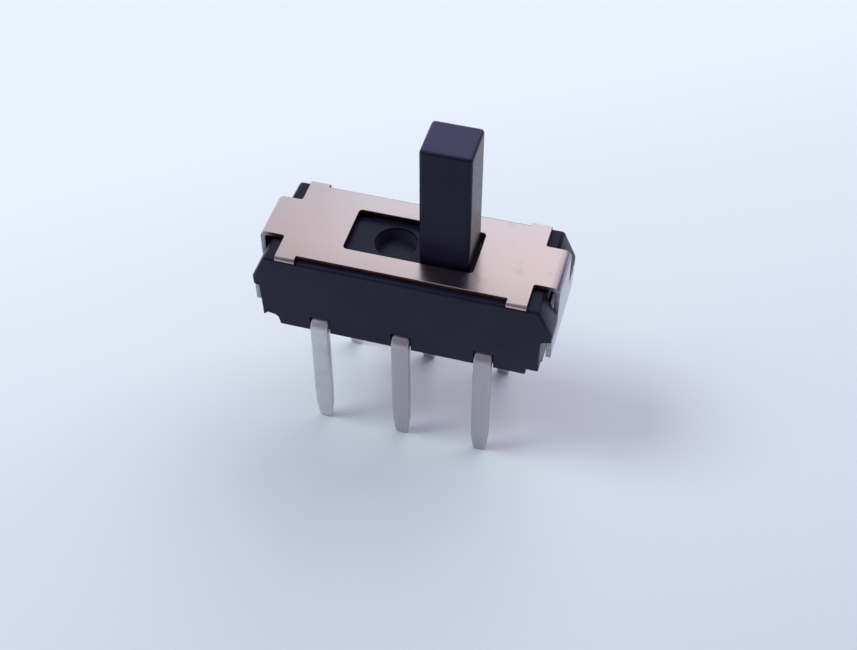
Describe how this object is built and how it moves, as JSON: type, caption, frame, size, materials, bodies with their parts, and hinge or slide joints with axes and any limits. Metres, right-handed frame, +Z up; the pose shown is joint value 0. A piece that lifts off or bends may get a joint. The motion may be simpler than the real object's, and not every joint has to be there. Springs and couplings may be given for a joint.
{
  "type": "slide switch",
  "caption": "Miniature slide switch: black moulded housing with a clipped-on sheet metal cover, a tall sliding handle and two rows of straight solder legs.",
  "frame": {"origin": "centre of the housing's underside, which lies on the circuit board", "axes": "+Z runs up the handle, away from the board; +X is the direction in which the handle slides, with the handle drawn at its +X end; Y runs across the two rows of legs"},
  "size_m": [0.0088, 0.0036, 0.0107],
  "materials": {
    "housing_plastic": "moulded, fine satin",
    "slider_plastic": "moulded, satin",
    "cover_sheet": "plated sheet with bare sheared edges",
    "terminal_tin": "dull tinned",
    "spring_bronze": "bright rolled strip"
  },
  "bodies": {
    "base": {"housing": "housing_plastic", "cover": "cover_sheet", "terminal_front_left": "terminal_tin", "terminal_front_centre": "terminal_tin", "terminal_front_right": "terminal_tin", "terminal_rear_left": "terminal_tin", "terminal_rear_centre": "terminal_tin", "terminal_rear_right": "terminal_tin"},
    "slider": {"slider": "slider_plastic", "contact_front": "spring_bronze", "contact_rear": "spring_bronze"}
  },
  "joints": [
    {"name": "handle_slide", "type": "slide", "parent": "base", "child": "slider", "axis": [1, 0, 0], "range_m": [-0.0021, 0]}
  ]
}
